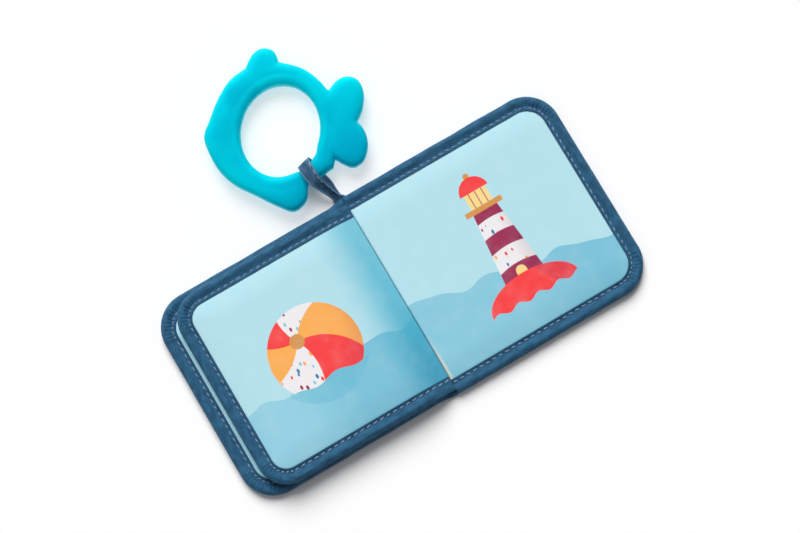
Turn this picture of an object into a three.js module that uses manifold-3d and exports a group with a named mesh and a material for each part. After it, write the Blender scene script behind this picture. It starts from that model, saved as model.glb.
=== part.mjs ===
// Padded fabric bath book, open on a table, with a fish-shaped teething ring on a strap.
// Millimetres, +Z up. The Y axis is the fold between the pages, +Y points to the head of the
// page, +X runs over the right-hand page, and z = 0 is the table.

import * as THREE from "three";
import { mergeVertices } from "three/addons/utils/BufferGeometryUtils.js";
import Module from "manifold-3d";

const wasm = await Module();
wasm.setup();

// Covers and leaf, from the fold to the fore-edge
const coverWidth = 140;
const coverHeight = 138;
const coverCorner = 22;
const leafCorner = 19;
const leastCorner = 1;

// How much smaller than the back cover the other two are sewn, and how much lower they lie
const frontLessWidth = 2.7;
const frontLessHeight = 2;
const frontDrop = 0.8;
const leafLessWidth = 14.5;
const leafLessHeight = 8.5;
const leafDrop = 1.3;

// Layers of a padded page
const padThickness = 7;
const panelThickness = 1.1;
const edgeFoam = 1.4;
const shoulderRun = 8;

// Binding tape, folded over the edge of a page
const tapeThickness = 0.8;
const coverTapeReach = 9;
const leafTapeReach = 8.8;

// Spine and the gutter where the middle leaf is sewn in
const spineWidth = 12;
const spineUnderlap = 2.7;
const foldGap = 0.4;
const leafSpineGap = 0.6;
const gutterWidth = 27;
const gutterThickness = 2;

// Teething ring: place, size and the angle at which the strap holds it
const ringCentreX = -11.9;
const ringCentreY = 123.7;
const ringTurn = -29.7;
const ringThickness = 10;
const ringEdgeRadius = 4.6;
const widestRound = 0.46;
const notchRound = 0.437;
const holeHalfWidth = 24.5;
const holeHalfHeight = 29.2;
const holeLean = -10;
const strapAngle = -50;

// Strap
const strapThickness = 1.4;
const strapLoopWidth = 9.4;
const strapNeckWidth = 5.5;
const strapBaseWidth = 8.5;
const strapBaseX = -2.5;
const strapNeckAt = 5;
const strapFullAt = 14;
const loopSideClearance = 2.3;
const loopFaceClearance = 0.7;
const upperPlyAside = -3.8;
const lowerPlyAside = 3.5;

// Gaps between pieces that touch, and between leaves that lie on each other
const clearance = 0.25;
const restGap = 0.3;
const tableGap = 0.2;

// Smoothness of the curves
const cornerSteps = 7;
const gutterSteps = 8;
const shoulderSteps = 3;
const tapeArcSteps = 6;
const loopSteps = 18;
const plySteps = 5;
const runSteps = 3;
const ringEdgeSteps = 4;
const holeSteps = 24;

// Outline of the ring in its own frame, from the centre of the hole, with the tail towards +X.
// Each run is a smooth curve that ends in a notch.
const ringRuns = {
  headAndBelly: [
    [16.6, -34], [15.4, -42], [8, -48.2], [-3, -44.2], [-15, -38], [-28, -31.2], [-38.5, -21],
    [-45.2, -8.5], [-46.2, -1.5], [-43.2, 6.5], [-38.6, 18.8], [-31, 31.7], [-21, 39.3],
  ],
  backFin: [[-21, 39.3], [-17.2, 47.5], [-10.8, 51.9], [-3.8, 49.8], [-1, 43]],
  back: [[-1, 43], [12.5, 39.3], [22.5, 32.4], [29.6, 24]],
  upperTail: [[29.6, 24], [34, 30], [40.5, 33.2], [47.5, 31], [51, 23], [50, 12.5], [46.7, 5]],
  lowerTail: [[46.7, 5], [51.2, -0.6], [53.2, -9], [51, -18], [44.5, -22], [38, -19.8], [33, -17]],
  rear: [[33, -17], [30.3, -25.9], [16.6, -34]],
};

// Sizes and heights that follow from those above
const leafWidth = coverWidth - leafLessWidth;
const leafHeight = coverHeight - leafLessHeight;
const tapeHeight = edgeFoam + 2 * (panelThickness + 2 * clearance + tapeThickness);
const leafThickness = Math.max(padThickness, tapeHeight);
const leafPitch = leafThickness + restGap;
const padBase = (leafThickness - padThickness) / 2;
const tapeBase = (leafThickness - tapeHeight) / 2;
const spineTapeHeight = panelThickness + 2 * (clearance + tapeThickness);
const liningBase = padBase + panelThickness + clearance;
const spineTop = Math.max(tapeBase + spineTapeHeight, liningBase + panelThickness);

const colours = {
  outerPanel: 0x9fd3e6,
  foam: 0xf2efe4,
  page: 0xb5e2ec,
  tape: 0x2d5f87,
  ring: 0x00bed2,
};

function material(colour, roughness) {
  return new THREE.MeshStandardMaterial({ color: colour, roughness, metalness: 0 });
}

const materials = {
  outerPanel: material(colours.outerPanel, 0.8),
  foam: material(colours.foam, 0.95),
  page: material(colours.page, 0.75),
  tape: material(colours.tape, 0.85),
  ring: material(colours.ring, 0.4),
};

function smooth(t) {
  return THREE.MathUtils.smoothstep(t, 0, 1);
}

function geometryFrom(positions, indices) {
  const geometry = new THREE.BufferGeometry();
  geometry.setAttribute("position", new THREE.Float32BufferAttribute(positions, 3));
  geometry.setIndex(indices);
  return geometry;
}

function toSolid(geometry) {
  const bare = geometry.clone();
  bare.deleteAttribute("normal");
  bare.deleteAttribute("uv");
  const merged = mergeVertices(bare);
  return new wasm.Manifold(
    new wasm.Mesh({
      numProp: 3,
      vertProperties: new Float32Array(merged.attributes.position.array),
      triVerts: new Uint32Array(merged.index.array),
    }),
  );
}

function fromSolid(solid) {
  const { vertProperties, triVerts } = solid.getMesh();
  return geometryFrom(Array.from(vertProperties), Array.from(triVerts));
}

// Keeps the stretch of a piece between two distances from the fold.
function trimmed(geometry, from, to) {
  const reach = 2 * coverHeight;
  const box = new THREE.BoxGeometry(to - from, reach, reach);
  box.translate((from + to) / 2, 0, 0);
  return fromSolid(toSolid(geometry).intersect(toSolid(box)));
}

// Turns a right-hand page into a left-hand one.
function mirrored(geometry) {
  const flipped = geometry.clone();
  flipped.scale(-1, 1, 1);
  const index = Array.from(flipped.index.array);
  for (let i = 0; i < index.length; i += 3) {
    [index[i + 1], index[i + 2]] = [index[i + 2], index[i + 1]];
  }
  flipped.setIndex(index);
  return flipped;
}

// Head half of a page's outline at an inset, from past the fold to the fore-edge.
function headOutline(page, inset) {
  const radius = Math.max(page.corner - inset, leastCorner);
  const top = page.height / 2 - inset;
  const left = page.start - page.corner - page.reach - shoulderRun + inset;
  const right = page.width - inset;
  const points = [[left, top - radius], [left + radius, top]];
  for (const station of page.stations) {
    points.push([station, top]);
  }
  for (let i = 0; i <= cornerSteps; i += 1) {
    const angle = (Math.PI / 2) * (1 - i / cornerSteps);
    points.push([right - radius + radius * Math.cos(angle), top - radius + radius * Math.sin(angle)]);
  }
  return points;
}

// Closed solid through a stack of outlines that are alike above and below y = 0.
function loft(rings) {
  const half = rings[0].outline.length;
  const count = 2 * half;
  const positions = [];
  const indices = [];
  for (const { outline, z } of rings) {
    outline.forEach(([x, y]) => positions.push(x, y, z));
    outline.toReversed().forEach(([x, y]) => positions.push(x, -y, z));
  }
  for (let ring = 0; ring + 1 < rings.length; ring += 1) {
    for (let i = 0; i < count; i += 1) {
      const a = ring * count + i;
      const b = ring * count + ((i + 1) % count);
      indices.push(a, a + count, b + count, a, b + count, b);
    }
  }
  const last = (rings.length - 1) * count;
  for (let i = 0; i + 1 < half; i += 1) {
    const [head, nextHead, nextTail, tail] = [i, i + 1, count - 2 - i, count - 1 - i];
    indices.push(tail, nextHead, nextTail, tail, head, nextHead);
    indices.push(last + tail, last + nextTail, last + nextHead, last + tail, last + nextHead, last + head);
  }
  return geometryFrom(positions, indices);
}

// One layer of a padded page: level in the middle, drawn in under the tape at its rim.
function layer(page, low, high) {
  const shoulder = (level, step) => {
    const share = step / shoulderSteps;
    const rise = Math.sin((share * Math.PI) / 2);
    const z = level.edge + (level.middle - level.edge) * rise;
    return { outline: headOutline(page, page.reach + shoulderRun * share), z };
  };
  const steps = Array.from({ length: shoulderSteps + 1 }, (_, i) => i);
  const rim = headOutline(page, tapeHeight / 2);
  return loft([
    ...steps.toReversed().map((step) => shoulder(low, step)),
    { outline: rim, z: low.edge },
    { outline: rim, z: high.edge },
    ...steps.map((step) => shoulder(high, step)),
  ]);
}

// Lower and upper faces of the three layers of a page.
function pageLevels() {
  const mid = leafThickness / 2;
  const foamEdge = edgeFoam / 2;
  const panelEdge = foamEdge + clearance;
  const foamMiddle = padThickness / 2 - panelThickness - clearance;
  const face = (middle, edge) => ({ middle: mid + middle, edge: mid + edge });
  return {
    lower: [
      face(-padThickness / 2, -panelEdge - panelThickness),
      face(panelThickness - padThickness / 2, -panelEdge),
    ],
    foam: [face(-foamMiddle, -foamEdge), face(foamMiddle, foamEdge)],
    upper: [
      face(padThickness / 2 - panelThickness, panelEdge),
      face(padThickness / 2, panelEdge + panelThickness),
    ],
  };
}

// Folded tape in section: u is 0 at its outermost line and runs inwards below 0.
function tapeSection(reach, base, height) {
  const outer = height / 2;
  const inner = outer - tapeThickness;
  const middle = base + outer;
  const arc = (radius, start, end) =>
    Array.from({ length: tapeArcSteps + 1 }, (_, i) => {
      const angle = start + ((end - start) * i) / tapeArcSteps;
      return new THREE.Vector2(-outer + radius * Math.cos(angle), middle + radius * Math.sin(angle));
    });
  return [
    new THREE.Vector2(-reach, middle - outer),
    ...arc(outer, -Math.PI / 2, Math.PI / 2),
    new THREE.Vector2(-reach, middle + outer),
    new THREE.Vector2(-reach, middle + inner),
    ...arc(inner, Math.PI / 2, -Math.PI / 2),
    new THREE.Vector2(-reach, middle - inner),
  ];
}

// Closed solid through sections with equally many points, capped at both ends.
function sweep(sections, contour) {
  const count = contour.length;
  const positions = sections.flat(2);
  const indices = [];
  for (let row = 0; row + 1 < sections.length; row += 1) {
    for (let i = 0; i < count; i += 1) {
      const a = row * count + i;
      const b = row * count + ((i + 1) % count);
      indices.push(a, b, b + count, a, b + count, a + count);
    }
  }
  const last = (sections.length - 1) * count;
  for (const [a, b, c] of THREE.ShapeUtils.triangulateShape(contour, [])) {
    indices.push(a, c, b, last + a, last + b, last + c);
  }
  return geometryFrom(positions, indices);
}

// Tape along a line in the plane, where each point of the line has its outward direction.
function tapeAlong(line, section) {
  const sections = line.map(({ x, y, nx, ny }) => section.map((p) => [x + nx * p.x, y + ny * p.x, p.y]));
  return sweep(sections, section);
}

// Edge line of a page: along its head, round the fore-edge and back along its tail.
function edgeLine(page) {
  const head = [page.start, ...page.stations.filter((station) => station > page.start)];
  const top = page.height / 2;
  const line = head.map((x) => ({ x, y: top, nx: 0, ny: 1 }));
  for (const side of [1, -1]) {
    for (let i = 0; i <= cornerSteps; i += 1) {
      const share = i / cornerSteps;
      const angle = (Math.PI / 2) * (side > 0 ? 1 - share : -share);
      const [nx, ny] = [Math.cos(angle), Math.sin(angle)];
      line.push({
        x: page.width - page.corner + page.corner * nx,
        y: side * (top - page.corner) + page.corner * ny,
        nx,
        ny,
      });
    }
  }
  const tail = head.toReversed().map((x) => ({ x, y: -top, nx: 0, ny: -1 }));
  return [...line, ...tail];
}

// Dips a left-hand leaf from its place on the front cover into the gutter at the fold.
function intoGutter(geometry) {
  const sewnBase = spineTop + restGap;
  const position = geometry.attributes.position;
  for (let i = 0; i < position.count; i += 1) {
    const fromFold = -position.getX(i);
    const dip = smooth((spineWidth - fromFold) / (spineWidth - leafSpineGap));
    const thin = smooth((gutterWidth - fromFold) / (gutterWidth - leafSpineGap));
    const base = THREE.MathUtils.lerp(leafPitch, sewnBase, dip);
    const share = THREE.MathUtils.lerp(1, gutterThickness / leafThickness, thin);
    position.setZ(i, base + position.getZ(i) * share);
  }
  return geometry;
}

const cover = {
  width: coverWidth,
  height: coverHeight,
  corner: coverCorner,
  reach: coverTapeReach,
  stations: [],
};
const backPage = { ...cover, start: foldGap, drop: 0 };
const frontPage = {
  ...cover,
  width: coverWidth - frontLessWidth,
  height: coverHeight - frontLessHeight,
  start: spineWidth + restGap,
  drop: frontDrop,
};
const leafPage = {
  width: leafWidth,
  height: leafHeight,
  corner: leafCorner,
  reach: leafTapeReach,
  start: leafSpineGap,
  drop: leafDrop,
  stations: Array.from({ length: gutterSteps + 1 }, (_, i) => {
    return leafSpineGap + ((gutterWidth - leafSpineGap) * i) / gutterSteps;
  }),
};

const book = new THREE.Group();

function add(name, geometry, look, parent = book) {
  const mesh = new THREE.Mesh(geometry, look);
  mesh.name = name;
  parent.add(mesh);
}

// Shifts a piece to where its page lies along the fold.
function lowered(geometry, page) {
  return geometry.translate(0, -page.drop, 0);
}

// Covers: two panels with foam between them, held by the tape round the edge
const levels = pageLevels();
const coverTape = tapeSection(coverTapeReach, tapeBase, tapeHeight);

function coverPieces(page, outerStart) {
  return {
    outer_panel: trimmed(layer(page, ...levels.lower), outerStart, page.width),
    foam: trimmed(layer(page, ...levels.foam), page.start, page.width),
    inner_panel: trimmed(layer(page, ...levels.upper), page.start, page.width),
    binding: tapeAlong(edgeLine(page), coverTape),
  };
}

const coverLooks = {
  outer_panel: materials.outerPanel,
  foam: materials.foam,
  inner_panel: materials.page,
  binding: materials.tape,
};

for (const [piece, geometry] of Object.entries(coverPieces(backPage, spineUnderlap + restGap))) {
  add(`back_cover_${piece}`, lowered(geometry, backPage), coverLooks[piece]);
}
for (const [piece, geometry] of Object.entries(coverPieces(frontPage, frontPage.start))) {
  add(`front_cover_${piece}`, lowered(mirrored(geometry), frontPage), coverLooks[piece]);
}

// Spine: outer cloth, inner lining and a flat tape over each end
const spineEnd = restGap - foldGap;
const clothEdge = tapeBase + tapeThickness + clearance;
const spineCloth = layer(
  { ...cover, start: -spineUnderlap },
  { middle: padBase, edge: clothEdge },
  { middle: padBase + panelThickness, edge: clothEdge + panelThickness },
);
add("spine_cloth", mirrored(trimmed(spineCloth, -spineUnderlap, spineWidth)), materials.outerPanel);

const liningHeight = coverHeight - 2 * (coverTapeReach + shoulderRun);
const lining = new THREE.BoxGeometry(spineWidth - spineEnd, liningHeight, panelThickness);
lining.translate(-(spineWidth + spineEnd) / 2, 0, liningBase + panelThickness / 2);
add("spine_lining", lining, materials.page);

const spineTape = tapeSection(coverTapeReach, tapeBase, spineTapeHeight);
for (const [name, side] of [["spine_head_binding", 1], ["spine_tail_binding", -1]]) {
  const ends = side > 0 ? [-spineWidth, -spineEnd] : [-spineEnd, -spineWidth];
  const line = ends.map((x) => ({ x, y: (side * coverHeight) / 2, nx: 0, ny: side }));
  add(name, tapeAlong(line, spineTape), materials.tape);
}

// Middle leaf, sewn to the lining and lying on the front cover
const leafTape = tapeSection(leafTapeReach, tapeBase, tapeHeight);

function leafPiece(faces) {
  const sunk = intoGutter(mirrored(layer(leafPage, ...faces)));
  return lowered(trimmed(sunk, -leafWidth, -leafSpineGap), leafPage);
}

add("middle_leaf_lower_panel", leafPiece(levels.lower), materials.page);
add("middle_leaf_foam", leafPiece(levels.foam), materials.foam);
add("middle_leaf_upper_panel", leafPiece(levels.upper), materials.page);

const leafBinding = intoGutter(mirrored(tapeAlong(edgeLine(leafPage), leafTape)));
add("middle_leaf_binding", lowered(leafBinding, leafPage), materials.tape);

// Teething ring: the moulded outline with a rounded edge all round it and round its hole
const ringOutline = Object.values(ringRuns).flatMap((run) => {
  const curve = new THREE.SplineCurve(run.map(([x, y]) => new THREE.Vector2(x, y)));
  return curve.getPoints(runSteps * (run.length - 1)).slice(0, -1);
});

// Distance from the hole's centre to its edge, and to the outline, in a direction.
const lean = THREE.MathUtils.degToRad(holeLean);

function holeRadius(angle) {
  const own = angle - lean;
  return 1 / Math.hypot(Math.cos(own) / holeHalfWidth, Math.sin(own) / holeHalfHeight);
}

function outlineRadius(angle) {
  const direction = new THREE.Vector2(Math.cos(angle), Math.sin(angle));
  const crossings = ringOutline.map((a, i) => {
    const side = ringOutline[(i + 1) % ringOutline.length].clone().sub(a);
    const turn = direction.cross(side);
    const along = a.cross(direction) / turn;
    return along >= 0 && along <= 1 ? a.cross(side) / turn : 0;
  });
  return Math.max(...crossings);
}

const holdAngle = THREE.MathUtils.degToRad(strapAngle);
const barInner = holeRadius(holdAngle);
const barOuter = outlineRadius(holdAngle);
const barWidth = barOuter - barInner;
const barRadius = (barInner + barOuter) / 2;

// The round edge fits the thickness, the held bar and the narrowest wall, which lies at a notch.
const narrowestWall = Math.min(...ringOutline.map((spot) => spot.length() - holeRadius(spot.angle())));
const ringEdge = Math.min(
  ringEdgeRadius,
  widestRound * ringThickness,
  widestRound * barWidth,
  notchRound * narrowestWall,
);

const ringShape = new THREE.Shape(ringOutline.toReversed());
const hole = new THREE.Path().absellipse(0, 0, holeHalfWidth, holeHalfHeight, 0, 2 * Math.PI, false, lean);
ringShape.holes.push(hole);
const ringGeometry = new THREE.ExtrudeGeometry(ringShape, {
  depth: ringThickness - 2 * ringEdge,
  bevelSize: ringEdge,
  bevelOffset: -ringEdge,
  bevelThickness: ringEdge,
  bevelSegments: ringEdgeSteps,
  curveSegments: holeSteps,
});
ringGeometry.translate(0, 0, ringEdge - ringThickness / 2);
ringGeometry.translate(-barRadius * Math.cos(holdAngle), -barRadius * Math.sin(holdAngle), 0);

// The ring lies on the lower ply of the strap at its held bar and on the table at its far side.
const turn = THREE.MathUtils.degToRad(ringTurn);
const barX = ringCentreX + barRadius * Math.cos(holdAngle + turn);
const barY = ringCentreY + barRadius * Math.sin(holdAngle + turn);
const barZ = tableGap + strapThickness + loopFaceClearance + ringThickness / 2;
const farReach = barRadius + holeHalfHeight + barWidth;
const ringGroup = new THREE.Group();
ringGroup.position.set(barX, barY, barZ);
ringGroup.rotation.set(-(strapThickness + loopFaceClearance) / farReach, 0, turn);
add("teether_ring", ringGeometry, materials.ring, ringGroup);
book.add(ringGroup);

// Strap: one tape from the head of the spine, over the bar, through the hole and back beneath it
const plyOffset = (strapThickness + tableGap) / 2;
const plyMiddle = tableGap + plyOffset + strapThickness / 2;
const strapBase = new THREE.Vector3(strapBaseX, coverHeight / 2 + restGap, plyMiddle);
const bar = new THREE.Vector3(barX, barY, barZ);
const loopReach = barWidth / 2 + loopSideClearance + strapThickness / 2;
const loopRise = ringThickness / 2 + loopFaceClearance + strapThickness / 2;

// The loop is drawn straight from the bar to the place where the strap is sewn in.
const holdLie = Math.atan2(strapBase.y - barY, strapBase.x - barX);
const towardsBook = across(holdLie);
const plyLie = holdLie + Math.PI / 2;
const ownAngle = holdAngle - lean;
const holeLie = turn + lean + Math.atan2(
  Math.cos(ownAngle) / holeHalfWidth ** 2,
  -Math.sin(ownAngle) / holeHalfHeight ** 2,
);

function across(angle) {
  return new THREE.Vector3(Math.cos(angle), Math.sin(angle), 0);
}

function loopPoint(angle) {
  const point = bar.clone().addScaledVector(towardsBook, loopReach * Math.cos(angle));
  point.z += loopRise * Math.sin(angle);
  return point;
}

// Across the tape: square to the plies by the book, and along the edge of the hole within it.
function alongBar(angle) {
  return across(THREE.MathUtils.lerp(plyLie, holeLie, (1 - Math.cos(angle)) / 2));
}

// Angle on the loop, from the side of the book, where a ply from the spine meets it without a kink.
function tangentAngle(baseZ, side) {
  const out = strapBase.clone().sub(bar).dot(towardsBook) / loopReach;
  const up = (baseZ - barZ) / loopRise;
  return Math.atan2(up, out) + side * Math.acos(1 / Math.hypot(out, up));
}

function strapWidthAt(fromBase) {
  const neck = THREE.MathUtils.lerp(strapBaseWidth, strapNeckWidth, smooth(fromBase / strapNeckAt));
  const spread = smooth((fromBase - strapNeckAt) / (strapFullAt - strapNeckAt));
  return THREE.MathUtils.lerp(neck, strapLoopWidth, spread);
}

function strapPly(offset, end) {
  const foot = strapBase.clone().setZ(plyMiddle + offset);
  return Array.from({ length: plySteps }, (_, i) => {
    const share = i / plySteps;
    const point = foot.clone().lerp(end, share);
    const width = strapWidthAt(point.distanceTo(foot));
    return { point, width, lateral: across(plyLie * smooth(share)) };
  });
}

function strapGeometry() {
  const upper = tangentAngle(plyMiddle + plyOffset, 1);
  const lower = 2 * Math.PI + tangentAngle(plyMiddle - plyOffset, -1);
  const loop = Array.from({ length: loopSteps + 1 }, (_, i) => {
    const share = i / loopSteps;
    const angle = THREE.MathUtils.lerp(upper, lower, share);
    const aside = THREE.MathUtils.lerp(upperPlyAside, lowerPlyAside, share);
    const lateral = alongBar(angle);
    return { point: loopPoint(angle).addScaledVector(lateral, aside), width: strapLoopWidth, lateral };
  });
  const route = [
    ...strapPly(plyOffset, loop[0].point),
    ...loop,
    ...strapPly(-plyOffset, loop[loopSteps].point).toReversed(),
  ];
  const square = [[-1, -1], [1, -1], [1, 1], [-1, 1]].map(([x, y]) => new THREE.Vector2(x, y));
  const sections = route.map(({ point, width, lateral }, i) => {
    const before = route[Math.max(i - 1, 0)].point;
    const after = route[Math.min(i + 1, route.length - 1)].point;
    const face = lateral.clone().cross(after.clone().sub(before)).setLength(strapThickness / 2);
    return square.map(({ x, y }) => {
      return point.clone().addScaledVector(face, x).addScaledVector(lateral, (y * width) / 2).toArray();
    });
  });
  return sweep(sections, square);
}

add("strap", strapGeometry(), materials.tape);

export default book;
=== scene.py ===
import math

import bpy
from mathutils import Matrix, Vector, noise


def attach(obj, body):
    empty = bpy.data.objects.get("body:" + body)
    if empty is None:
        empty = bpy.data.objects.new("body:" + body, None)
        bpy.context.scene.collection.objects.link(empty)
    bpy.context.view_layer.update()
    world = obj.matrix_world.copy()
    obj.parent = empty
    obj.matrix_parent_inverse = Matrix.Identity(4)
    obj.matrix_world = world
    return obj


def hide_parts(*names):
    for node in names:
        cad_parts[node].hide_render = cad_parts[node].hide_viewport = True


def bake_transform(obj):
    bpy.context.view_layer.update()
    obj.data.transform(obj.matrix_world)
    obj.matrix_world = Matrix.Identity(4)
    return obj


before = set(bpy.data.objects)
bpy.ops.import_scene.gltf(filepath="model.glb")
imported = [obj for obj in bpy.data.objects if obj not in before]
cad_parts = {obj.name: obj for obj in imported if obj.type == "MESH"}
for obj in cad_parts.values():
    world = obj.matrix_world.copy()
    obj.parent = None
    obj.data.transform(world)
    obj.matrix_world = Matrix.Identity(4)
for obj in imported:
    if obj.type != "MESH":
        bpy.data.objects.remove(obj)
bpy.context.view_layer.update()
print("frame loaded:", len(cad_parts), "solids")

mm = 0.001
scene = bpy.context.scene
scene.view_settings.view_transform = "Standard"


def ink(red, green, blue):
    # colours are picked as on screen, 0 to 255
    parts = [c / 255 for c in (red, green, blue)]
    return (*[c / 12.92 if c < 0.04045 else ((c + 0.055) / 1.055) ** 2.4 for c in parts], 1)


def mixed(low, high, share):
    return low + (high - low) * share


def eased(share):
    share = min(max(share, 0), 1)
    return share * share * (3 - 2 * share)


def clearSelection():
    for other in list(bpy.context.selected_objects):
        other.select_set(False)


def pick(obj):
    clearSelection()
    obj.select_set(True)
    bpy.context.view_layer.objects.active = obj


def applyModifier(obj, kind, **settings):
    pick(obj)
    modifier = obj.modifiers.new(kind.lower(), kind)
    for key, value in settings.items():
        setattr(modifier, key, value)
    bpy.ops.object.modifier_apply(modifier=modifier.name)


def moveEach(obj, place):
    # place gives a vertex its new spot, all in millimetres
    for vertex in obj.data.vertices:
        vertex.co = Vector(place(vertex.co / mm)) * mm
    obj.data.update()


def keepLay(obj):
    # the flat lay of the cloth, for patterns that follow it
    spots = [part for vertex in obj.data.vertices for part in vertex.co]
    layer = obj.data.attributes.new("lay", "FLOAT_VECTOR", "POINT")
    layer.data.foreach_set("vector", spots)


def flatGrid(name, low, high, columns, rows):
    clearSelection()
    middle = ((low[0] + high[0]) / 2 * mm, (low[1] + high[1]) / 2 * mm, 0)
    bpy.ops.mesh.primitive_grid_add(x_subdivisions=columns, y_subdivisions=rows, size=1, location=middle)
    sheet = bpy.context.object
    sheet.name = sheet.data.name = name
    sheet.scale = ((high[0] - low[0]) * mm, (high[1] - low[1]) * mm, 1)
    bpy.ops.object.transform_apply(location=True, rotation=False, scale=True)
    return sheet


# camera and light
shot = {
    "azimuth": -30.5,
    "elevation": 82.0,
    "lens": 90.0,
    "widthSeen": 484.0,  # millimetres across the frame at the book
    "aim": (8.7, 14.7, 7.0),
}
lamps = {
    "key": {"azimuth": 106.0, "height": 45.0, "spread": 42.0, "power": 1.4},
    "through": {"azimuth": 106.0, "height": 45.0, "spread": 42.0, "power": 2.1},
    "fill": {"azimuth": 200.0, "height": 60.0, "spread": 60.0, "power": 0.25},
    "world": 0.15,
}


def skyDirection(azimuth, height):
    a = math.radians(azimuth)
    e = math.radians(height)
    return Vector((math.cos(a) * math.cos(e), math.sin(a) * math.cos(e), math.sin(e)))


def setCamera():
    data = bpy.data.cameras.new("camera")
    data.lens = shot["lens"]
    camera = bpy.data.objects.new("camera", data)
    scene.collection.objects.link(camera)
    turn = math.radians(shot["azimuth"])
    tilt = math.radians(shot["elevation"])
    back = Vector((math.sin(turn) * math.cos(tilt), -math.cos(turn) * math.cos(tilt), math.sin(tilt)))
    distance = shot["widthSeen"] * mm * data.lens / data.sensor_width
    camera.location = Vector(shot["aim"]) * mm + back * distance
    camera.rotation_euler = (-back).to_track_quat("-Z", "Y").to_euler()
    scene.camera = camera


def addSun(name, sun):
    data = bpy.data.lights.new(name, "SUN")
    data.energy = sun["power"]
    data.angle = math.radians(sun["spread"])
    lamp = bpy.data.objects.new(name, data)
    scene.collection.objects.link(lamp)
    # azimuth is counted from the right of the picture
    towards = skyDirection(sun["azimuth"] + shot["azimuth"], sun["height"])
    lamp.rotation_euler = towards.to_track_quat("Z", "Y").to_euler()
    return lamp


setCamera()
addSun("keyLight", lamps["key"])
throughLight = addSun("throughLight", lamps["through"])
addSun("fillLight", lamps["fill"])
world = bpy.data.worlds.new("studio")
world.use_nodes = True
world.node_tree.nodes["Background"].inputs["Color"].default_value = (1, 1, 1, 1)
world.node_tree.nodes["Background"].inputs["Strength"].default_value = lamps["world"]
scene.world = world
print("camera and light set")


class Wire:
    # one value in a material, so that sums and products write the Math nodes
    def __init__(self, look, socket):
        self.look = look
        self.socket = socket

    def __add__(self, other):
        return self.look.sum("ADD", self, other)

    def __sub__(self, other):
        return self.look.sum("SUBTRACT", self, other)

    def __rsub__(self, other):
        return self.look.sum("SUBTRACT", other, self)

    def __mul__(self, other):
        return self.look.sum("MULTIPLY", self, other)

    def __truediv__(self, other):
        return self.look.sum("DIVIDE", self, other)

    def __abs__(self):
        return self.look.sum("ABSOLUTE", self)


class Look:
    def __init__(self, name, **fixed):
        self.material = bpy.data.materials.new(name)
        self.material.use_nodes = True
        self.tree = self.material.node_tree
        self.shader = self.tree.nodes["Principled BSDF"]
        for socket, value in fixed.items():
            self.shader.inputs[socket.replace("_", " ")].default_value = value

    def node(self, kind, settings, values, output=0):
        made = self.tree.nodes.new(kind)
        for key, value in settings.items():
            if key == "stops":
                self.setStops(made.color_ramp, value)
            else:
                setattr(made, key, value)
        for key, value in values.items():
            if isinstance(value, Wire):
                self.tree.links.new(value.socket, made.inputs[key])
            else:
                made.inputs[key].default_value = value
        return Wire(self, made.outputs[output])

    def setStops(self, band, colours):
        # equal steps of flat colour
        band.interpolation = "CONSTANT"
        while len(band.elements) < len(colours):
            band.elements.new(1)
        for i, colour in enumerate(colours):
            band.elements[i].position = i / len(colours)
            band.elements[i].color = colour

    def other(self, wire, output):
        # a further output of the node behind a wire
        return Wire(self, wire.socket.node.outputs[output])

    def sum(self, operation, *values):
        return self.node("ShaderNodeMath", {"operation": operation}, dict(enumerate(values)))

    def root(self, value):
        return self.sum("SQRT", value)

    def least(self, first, *others):
        for other in others:
            first = self.sum("MINIMUM", first, other)
        return first

    def most(self, first, *others):
        for other in others:
            first = self.sum("MAXIMUM", first, other)
        return first

    def wave(self, value):
        return self.sum("SINE", value)

    def ramp(self, value, start, end):
        # 0 at start, 1 at end, eased between
        values = {"Value": value, "From Min": start, "From Max": end}
        return self.node("ShaderNodeMapRange", {"interpolation_type": "SMOOTHSTEP"}, values)

    def mix(self, share, first, second):
        return self.node("ShaderNodeMix", {"data_type": "RGBA"}, {0: share, 6: first, 7: second}, 2)

    def place(self):
        return self.node("ShaderNodeTexCoord", {}, {}, "Object")

    def lay(self):
        return self.node("ShaderNodeAttribute", {"attribute_name": "lay"}, {}, "Vector")

    def parts(self, vector):
        # the three parts of a place, in millimetres
        split = self.node("ShaderNodeSeparateXYZ", {}, {0: vector})
        return [self.other(split, axis) / mm for axis in ("X", "Y", "Z")]

    def kept(self, name):
        return self.node("ShaderNodeAttribute", {"attribute_name": name}, {}, "Fac")

    def speckle(self, vector, size, detail):
        values = {"Vector": vector, "Scale": 1 / (size * mm), "Detail": detail}
        return self.node("ShaderNodeTexNoise", {}, values)

    def bump(self, height, depth):
        values = {"Height": height, "Strength": 1.0, "Distance": depth * mm}
        return self.node("ShaderNodeBump", {}, values)

    def feed(self, **links):
        for socket, wire in links.items():
            self.tree.links.new(wire.socket, self.shader.inputs[socket.replace("_", " ")])
        return self.material


# printed cloth of the pages: a plain sea, a ball on the left page and a lighthouse on the right one
inks = {
    "sky": ink(181, 226, 236),
    "pale": ink(184, 240, 255),
    "water": ink(138, 202, 222),
    "paleWater": ink(149, 209, 228),
    "deepWater": ink(124, 195, 218),
    # deep and fold are also the painted shade in the leaf's fold; deep is besides the printed shadow under
    # the ball
    "deep": ink(70, 180, 206),
    "fold": ink(62, 157, 187),
    "margin": ink(224, 226, 208),
    "orange": ink(253, 176, 85),
    "red": ink(250, 66, 66),
    "maroon": ink(160, 44, 84),
    "darkMaroon": ink(110, 30, 66),
    "ochre": ink(217, 150, 75),
    "white": ink(241, 238, 240),
    "straw": ink(252, 220, 140),
    "blue": ink(52, 128, 178),
}
sea = {
    "leaf": {"level": -15.0, "slope": 0.02, "swell": 2.0, "length": 6.2, "deeper": (-95, -45),
             "shallow": "paleWater"},
    "cover": {"level": -9.5, "slope": -0.17, "swell": 2.2, "length": 7.1, "deeper": (60, 115),
              "shallow": "water"},
    "ripple": {"often": 1.9, "shift": 1.3, "share": 0.35},
}
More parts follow.
